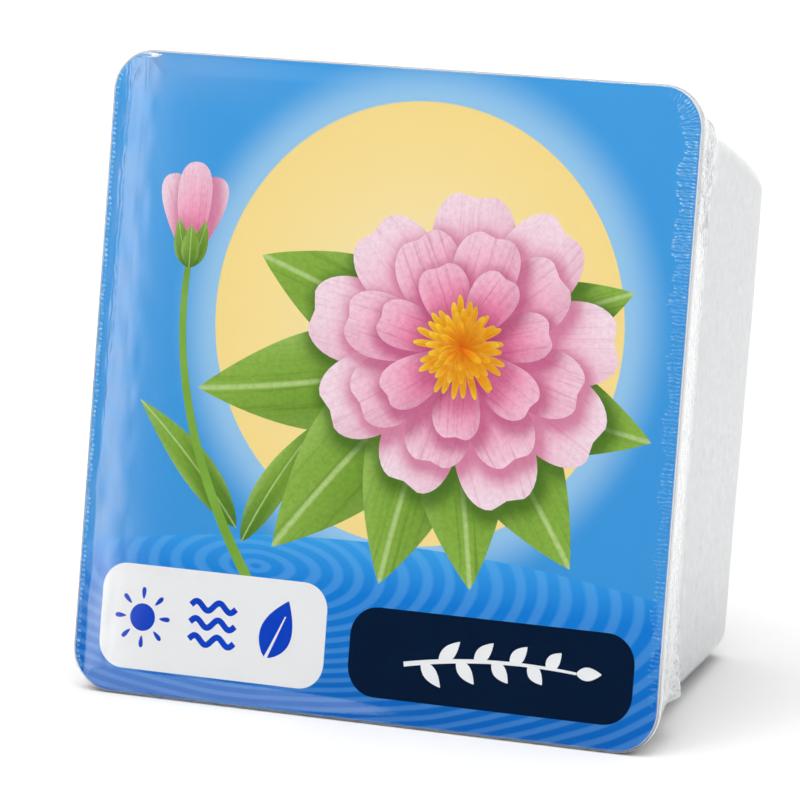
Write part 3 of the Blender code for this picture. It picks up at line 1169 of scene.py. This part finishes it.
def skirt_look(points, depth):
    """(white, shade) of the film behind the card: how milky it is, with painted highlights along the seal and
    white that paints over the shade behind the card's edge, and how much painted shade of small folds it
    carries.
    """
    x, y, _ = points.T
    upper, lower = crumple_shares(points, depth)
    seal = SEAL_DEPTH + SEAL_SLOPE * y
    drawn = step(depth, -0.6, 0.7) * step(depth, seal + 1, seal - 1.5) * (0.8 + 0.2 * step(y, 60, 0))
    drawn = drawn * np.maximum(step(y, -95, -88), step(x, 78, 88))
    # Milky white, fullest near the card's edge, that also paints over the shade in the gap behind it
    white = (DRAWN_HAZE_OVER_SHADE + 0.14 * step(depth, 8, 5)) * drawn
    # Painted highlights: bright dots along the trim seal, strongest on the right side
    beads = np.flatnonzero(seal_share(y, depth) > 0.1)
    if len(beads):
        spots = ripple(points[beads], (1.1, 1.1, 1.4), 3)
        bright = np.clip(0.4 + 1.1 * spots, 0, 1) * seal_share(y, depth)[beads]
        white[beads] = np.maximum(white[beads], bright * (0.4 + 0.6 * step(x[beads], *RIGHT_SIDE)))
    white = np.maximum(white, EAR_WHITE * lower)
    return white, np.clip(upper + EAR_FLECKS * lower, 0, 1)


def film_rows():
    """(inset, z, corner, tilt, level) of each row, from the card's middle round its edge to the base.

    tilt is the angle of the film's outward face from the side. A row of level 1 has half the columns, one of
    level 2 a quarter, and so on.
    """
    flat = math.pi / 2
    clear_of_wall = FILM_CLEAR / math.cos(WALL_DRAFT)
    rows = []
    for insets, level in (
        ((84, 73, 63), 4),
        ((54, 46, 39, 33, 28), 3),
        ((24, 21, 18.5, 16.5), 2),
        (np.arange(15.2, 8.7, -0.65), 1),
        (np.arange(8.5, 6.3, -0.42), 0),
        (np.arange(6.2, 2.4, -0.27), 0),
        (np.arange(2.25, 0.4, -0.22), 0),
    ):
        rows += [(inset, FILM_CLEAR, max(CARD_CORNER - inset, 1.0), flat, level) for inset in insets]
    for angle in flat * (1 - np.arange(FILM_EDGE_STEPS + 1) / FILM_EDGE_STEPS):
        inward = FILM_EDGE_ROUND * (1 - math.cos(angle))
        z = FILM_CLEAR - FILM_EDGE_ROUND * (1 - math.sin(angle))
        rows.append((inward - FILM_CLEAR, z, CARD_CORNER + FILM_CLEAR - inward, angle, 0))
    start = -CARD_THICKNESS - FILM_EDGE_ROUND
    rows.append((-FILM_CLEAR, start, CARD_CORNER + FILM_CLEAR, 0.0, 0))
    meets = wall_inset(-FILM_MEETS_WALL) - clear_of_wall
    slope = (meets + FILM_CLEAR) / (FILM_MEETS_WALL + start)
    skirt = (np.arange(2.6, 5.6, 0.8), np.arange(6.2, 27, 1.3), np.arange(27.7, 36, 0.7), (37.4, 38.8))
    for depth in np.concatenate(skirt):
        share = min((depth + start) / (FILM_MEETS_WALL + start), 1)
        corner = CARD_CORNER * (1 - share) + wall_corners(-depth) * share + FILM_CLEAR
        hanging = -FILM_CLEAR + slope * (depth + start)
        on_wall = wall_inset(-depth) - clear_of_wall
        rows.append((min(hanging, on_wall), -depth, corner, -math.atan(slope), 1))
    for depth in np.linspace(40.5, 108, 20):
        inset = wall_inset(-depth) - clear_of_wall
        rows.append((inset, -depth, wall_corners(-depth) + FILM_CLEAR, -WALL_DRAFT, 2))
    base_z = -TUB_DEPTH - FILM_CLEAR
    sharp = wall_inset(base_z) - clear_of_wall
    for inset, z, tilt in reversed(fillet(BASE_FILLET + FILM_CLEAR, sharp, base_z, FILM_FILLET_STEPS)):
        rows.append((inset, z, wall_corners(z) + FILM_CLEAR, tilt, 2))
    for inset in (30, 36, 44, 52):
        rows.append((inset, base_z, max(WALL_CORNER - inset + 26, 2.0), -flat, 3))
    return rows


def vent_rows(first_row):
    """Rows from the back's flat in to the round hole that lets the air out."""
    outline = first_row[:, :2]
    centre = np.array([0, VENT_HEIGHT])
    towards = (outline - centre) / np.linalg.norm(outline - centre, axis=1)[:, None]
    rim = centre + towards * VENT_RADIUS
    z = first_row[:, 2:]
    return [np.hstack([outline + (rim - outline) * share, z]) for share in (0.4, 0.75, 0.93, 1.0)]


def film_row(points, inset, tilt, along, gathers, length):
    """(lift, looks) of one row: how far it stands off the smooth wrap, and its values of FILM_LOOKS."""
    x, y, _ = points.T
    depth = np.full(len(points), -points[0, 2])
    lift = np.zeros(len(points))
    white = np.zeros(len(points))
    crumple_and_shade = np.zeros(len(points))
    ridge = np.zeros(len(points))
    if tilt > 0 or depth[0] < FILM_CLEAR + GATHERED_SKIRT:
        edge_inset = inset if tilt > 0 else FILM_CLEAR - depth[0]
        lift, ridge = gather_lift(along, np.full(len(points), edge_inset), gathers, length)
    # Painted highlights on the corner wrinkles and blister, and painted sheen in the slack film
    if tilt > math.pi / 4:
        wrinkled, stretched = corner_wrinkles(x, y)
        lift += slack_lift(x, y) + wrinkled
        white = np.maximum(white, np.maximum(painted_slack_sheen(x, y), stretched))
    # The painted highlight where the film turns over the card's edge
    if 0 < tilt < math.pi / 2:
        white = np.maximum(white, edge_bead_highlight(x, y, tilt))
    if tilt <= 0 and depth[0] < SKIRT_REACH:
        lift += skirt_lift(points, depth)
        milky, crumple_and_shade = skirt_look(points, depth)
        white = np.maximum(white, milky)
    # Painted shade at the film's foot, for the dark line where the card meets the floor
    if tilt < FOOT_TILT and depth[0] < FOOT_REACH:
        crumple_and_shade = np.maximum(crumple_and_shade, FOOT_SHADE * step(y, *FOOT_FALL))
    return lift, np.column_stack([white, crumple_and_shade, ridge])


def make_film():
    run, length = edge_run()
    gathers = gathers_along(length)
    rows = []
    looks = []
    for inset, z, corner, tilt, level in film_rows():
        outline, outward = square_outline(inset, corner, FILM_COLUMNS)
        every = slice(None, None, 2**level)
        points = np.column_stack([outline[every], np.full(len(outline[every]), z)])
        facing = np.column_stack([outward[every] * math.cos(tilt), np.full(len(points), math.sin(tilt))])
        lift, look = film_row(points, inset, tilt, run[every], gathers, length)
        rows.append(points + facing * lift[:, None])
        looks.append(look)
    holes = vent_rows(rows[-1])
    rows += holes
    looks += [np.zeros((len(row), len(FILM_LOOKS))) for row in holes]
    mesh = skin_mesh("film_wrap", rows, cap_first=True, cap_last=False)
    for name, values in zip(FILM_LOOKS, np.concatenate(looks).T):
        mesh.attributes.new(name, "FLOAT", "POINT").data.foreach_set("value", np.ascontiguousarray(values))
    mesh.materials.append(clear_polyolefin())
    show("film_wrap", mesh, "shrink_film")


def clear_polyolefin():
    """Heat-shrunk polyolefin film: clear, with a sharp gloss off both its faces and fine draw lines.

    Where it is creased it scatters white, with painted dark flecks of shade between its folds. Its painted
    highlights, sheen and shade come from the points' values, laid on as white, pale blue or grey.
    """
    made, tree, shader = surface("heat_shrunk_clear_polyolefin")
    place = pack_place(tree)
    draw_line_spacing = 0.9 * MM
    draw_line_length = 8.33 * MM
    cockle_size = 3.2 * MM
    draw_scale = (1 / draw_line_length, 1 / draw_line_length, 1 / draw_line_spacing)
    drawn = add(tree, "Mapping", {"Vector": place, "Scale": draw_scale}).outputs[0]
    lines = add(tree, "TexNoise", {"Vector": drawn, "Scale": 1.0, "Detail": 4.0, "Roughness": 0.7}).outputs[0]
    cockle = add(tree, "TexNoise", {"Vector": place, "Scale": 1 / cockle_size, "Detail": 4.0}).outputs[0]
    uneven = add(tree, "Mix", {0: 0.6, 2: lines, 3: cockle}).outputs[0]
    relief = add(tree, "Bump", {"Height": uneven, "Strength": 0.5, "Distance": 0.04 * MM}).outputs[0]
    haze_and_highlight, crumple_and_shade, ridge_glint = (
        add(tree, "Attribute", attribute_name=name).outputs["Fac"] for name in FILM_LOOKS
    )
    # The folds lie almost edge on from the front, so they are drawn longer towards the back than up the pack
    fold_size = (1.6 * MM, 0.7 * MM, 1.7 * MM)
    fold_scale = tuple(1 / size for size in fold_size)
    stretched = add(tree, "Mapping", {"Vector": place, "Scale": fold_scale}).outputs[0]
    folds = add(
        tree,
        "TexNoise",
        {"Vector": stretched, "Scale": 1.0, "Detail": 3.0, "Roughness": 0.65},
    ).outputs[0]
    shaded = add(tree, "MapRange", {"Value": folds, "From Min": 0.47, "From Max": 0.39}).outputs[0]
    flecks = add(tree, "Math", {0: shaded, 1: crumple_and_shade}, operation="MULTIPLY").outputs[0]
    # Painted highlights on the ridges are pale blue; the rest of the milky film is pale grey
    tint = add(tree, "MapRange", {"Value": ridge_glint, "From Max": 0.06}).outputs[0]
    colours = {0: tint, 6: linear("#E7E8E9"), 7: linear("#B0E5FF")}
    colour = add(tree, "Mix", colours, data_type="RGBA").outputs[2]
    # Painted shade: crumple and the foot grey the film, and darker painted flecks of shade lie between its
    # folds
    colour = add(tree, "Mix", {0: crumple_and_shade, 6: colour, 7: linear("#C4C5C7")}, data_type="RGBA").outputs[2]
    colour = add(tree, "Mix", {0: flecks, 6: colour, 7: linear("#74777B")}, data_type="RGBA").outputs[2]
    facing = add(tree, "LayerWeight", {"Blend": 0.5}).outputs["Facing"]
    graze = add(tree, "Math", {0: facing, 1: 5.0}, operation="POWER").outputs[0]
    streaked = add(
        tree,
        "MapRange",
        {"Value": uneven, "From Min": 0.35, "From Max": 0.65, "To Min": 0.7, "To Max": 1.3},
    ).outputs[0]
    graze = add(tree, "Math", {0: graze, 1: streaked}, operation="MULTIPLY").outputs[0]
    gloss_of_two_faces = 0.08
    gloss = add(
        tree,
        "Math",
        {0: graze, 1: 1 - gloss_of_two_faces, 2: gloss_of_two_faces},
        operation="MULTIPLY_ADD",
    ).outputs[0]
    dulled = add(tree, "MapRange", {"Value": crumple_and_shade, "To Min": 0.06, "To Max": 0.3}).outputs[0]
    tree.links.new(dulled, shader.inputs["Roughness"])
    tree.links.new(relief, shader.inputs["Normal"])
    shader.inputs["Base Color"].default_value = linear("#FDFEFF")
    shader.inputs["Metallic"].default_value = 1.0
    clear = add(tree, "BsdfTransparent", {"Color": (1, 1, 1, 1)})
    scattering = add(tree, "BsdfDiffuse", {"Color": colour})
    creased = add(tree, "Math", {0: crumple_and_shade, 1: 0.85}, operation="MULTIPLY").outputs[0]
    milky = add(tree, "Math", {0: haze_and_highlight, 1: ridge_glint}, operation="MAXIMUM").outputs[0]
    milky = add(tree, "Math", {0: milky, 1: creased}, operation="MAXIMUM").outputs[0]
    body = add(tree, "MixShader", {0: milky, 1: clear.outputs[0], 2: scattering.outputs[0]})
    mixed = add(tree, "MixShader", {0: gloss, 1: body.outputs[0], 2: shader.outputs[0]})
    tree.links.new(mixed.outputs[0], tree.nodes["Material Output"].inputs["Surface"])
    return made


# The studio

FLOOR_HALF = 5.0
HORIZON_LIGHT = 0.46
OVERHEAD_LIGHT = 0.97
RIGHT_LIGHT_GAIN = 0.42
BACK_LIGHT_GAIN = 0.2
LEFT_STRIP_LIGHT = 1.95

# The dark flag and the strip of light, in degrees right of the front and up: where each of the left, right
# and top edges is dark, or unflagged, and where it is full
FLAG = ((-29, -25), (14, 2), (24, 13))
FLAG_DEPTH = 0.98
LEFT_STRIP = ((-50, -42), (-27.5, -37), (18, 10))

# Round softboxes: azimuth right of the front, height and half angle in degrees, then brightness
SOFTBOXES = ((-77, 82, 34, 2.4), (-24, 38, 3, 20.0))


def light_patch(tree, azimuth, height, left, right, top):
    """1 between two azimuths and under a height. Each edge is given by where it is dark and where full."""
    dark, full = (math.sin(math.radians(angle)) for angle in top)
    share = add(
        tree,
        "MapRange",
        {"Value": height, "From Min": dark, "From Max": full},
        interpolation_type="SMOOTHSTEP",
    ).outputs[0]
    for dark, full in (left, right):
        side = add(
            tree,
            "MapRange",
            {"Value": azimuth, "From Min": math.radians(dark), "From Max": math.radians(full)},
            interpolation_type="SMOOTHSTEP",
        ).outputs[0]
        share = add(tree, "Math", {0: share, 1: side}, operation="MULTIPLY").outputs[0]
    return share


def studio_world():
    """Light all round, with soft edges, that stays even however far off the floor is.

    It grows overhead, to the right and to the back. A dark flag in front keeps the film clear, and a strip of
    light to its left lies in the slack film's gloss. One softbox is broad and one gives the glints.
    """
    world = bpy.data.worlds.new("studio")
    world.use_nodes = True
    bpy.context.scene.world = world
    tree = world.node_tree
    towards = add(tree, "TexCoord").outputs["Generated"]
    split = add(tree, "SeparateXYZ", {0: towards})
    x, y, height = split.outputs
    front = add(tree, "Math", {0: y, 1: -1.0}, operation="MULTIPLY").outputs[0]
    azimuth = add(tree, "Math", {0: x, 1: front}, operation="ARCTAN2").outputs[0]
    even = add(
        tree,
        "MapRange",
        {
            "Value": height,
            "From Min": 0.3,
            "From Max": 0.98,
            "To Min": HORIZON_LIGHT,
            "To Max": OVERHEAD_LIGHT,
        },
        interpolation_type="SMOOTHSTEP",
    ).outputs[0]
    right = add(tree, "Math", {0: x, 1: RIGHT_LIGHT_GAIN, 2: 1.0}, operation="MULTIPLY_ADD").outputs[0]
    gain = add(tree, "Math", {0: y, 1: BACK_LIGHT_GAIN, 2: right}, operation="MULTIPLY_ADD").outputs[0]
    light = add(tree, "Math", {0: even, 1: gain}, operation="MULTIPLY").outputs[0]
    flag = light_patch(tree, azimuth, height, *FLAG)
    unflagged = add(tree, "Math", {0: flag, 1: -FLAG_DEPTH, 2: 1.0}, operation="MULTIPLY_ADD").outputs[0]
    light = add(tree, "Math", {0: light, 1: unflagged}, operation="MULTIPLY").outputs[0]
    strip = light_patch(tree, azimuth, height, *LEFT_STRIP)
    light = add(tree, "Math", {0: strip, 1: LEFT_STRIP_LIGHT, 2: light}, operation="MULTIPLY_ADD").outputs[0]
    for turn, rise, half_angle, brightness in SOFTBOXES:
        turn = math.radians(turn)
        rise = math.radians(rise)
        middle = (math.cos(rise) * math.sin(turn), -math.cos(rise) * math.cos(turn), math.sin(rise))
        near = add(tree, "VectorMath", {0: towards, 1: middle}, operation="DOT_PRODUCT").outputs["Value"]
        box = add(
            tree,
            "MapRange",
            {
                "Value": near,
                "From Min": math.cos(math.radians(half_angle * 1.15)),
                "From Max": math.cos(math.radians(half_angle * 0.85)),
                "To Max": brightness,
            },
            interpolation_type="SMOOTHSTEP",
        ).outputs[0]
        light = add(tree, "Math", {0: light, 1: box}, operation="ADD").outputs[0]
    lit = add(tree, "Background", {"Color": light})
    seen = add(tree, "Background", {"Color": (1, 1, 1, 1)})
    camera_ray = add(tree, "LightPath").outputs["Is Camera Ray"]
    mixed = add(tree, "MixShader", {0: camera_ray, 1: lit.outputs[0], 2: seen.outputs[0]})
    tree.links.new(mixed.outputs[0], tree.nodes["World Output"].inputs["Surface"])


def make_floor():
    mesh = bpy.data.meshes.new("floor")
    corners = [(x * FLOOR_HALF, y * FLOOR_HALF, 0) for x, y in ((-1, -1), (1, -1), (1, 1), (-1, 1))]
    mesh.from_pydata(corners, [], [(0, 1, 2, 3)])
    floor = bpy.data.objects.new("floor", mesh)
    bpy.context.scene.collection.objects.link(floor)
    made, tree, shader = surface("matt_white_sweep_paper")
    place = add(tree, "TexCoord").outputs["Object"]
    fibre_cloud_size = 16.7 * MM
    fibre = add(tree, "TexNoise", {"Vector": place, "Scale": 1 / fibre_cloud_size, "Detail": 2.0}).outputs[0]
    colour = add(tree, "ValToRGB", {0: fibre}, stops=((0.0, "#E4E4E4"), (1.0, "#E6E6E6")))
    tree.links.new(colour.outputs[0], shader.inputs["Base Color"])
    shader.inputs["Roughness"].default_value = 0.9
    shader.inputs["Specular IOR Level"].default_value = 0.1
    mesh.materials.append(made)


def make_camera():
    data = bpy.data.cameras.new("camera")
    data.lens = CAMERA_LENS
    camera = bpy.data.objects.new("camera", data)
    bpy.context.scene.collection.objects.link(camera)
    camera.location = CAMERA_PLACE
    camera.rotation_euler = (math.pi / 2 - CAMERA_DROP, 0, CAMERA_AZIMUTH)
    bpy.context.scene.camera = camera


make_camera()
make_tub()
make_card()
make_film()
make_floor()
studio_world()
bpy.context.scene.view_settings.view_transform = "Standard"
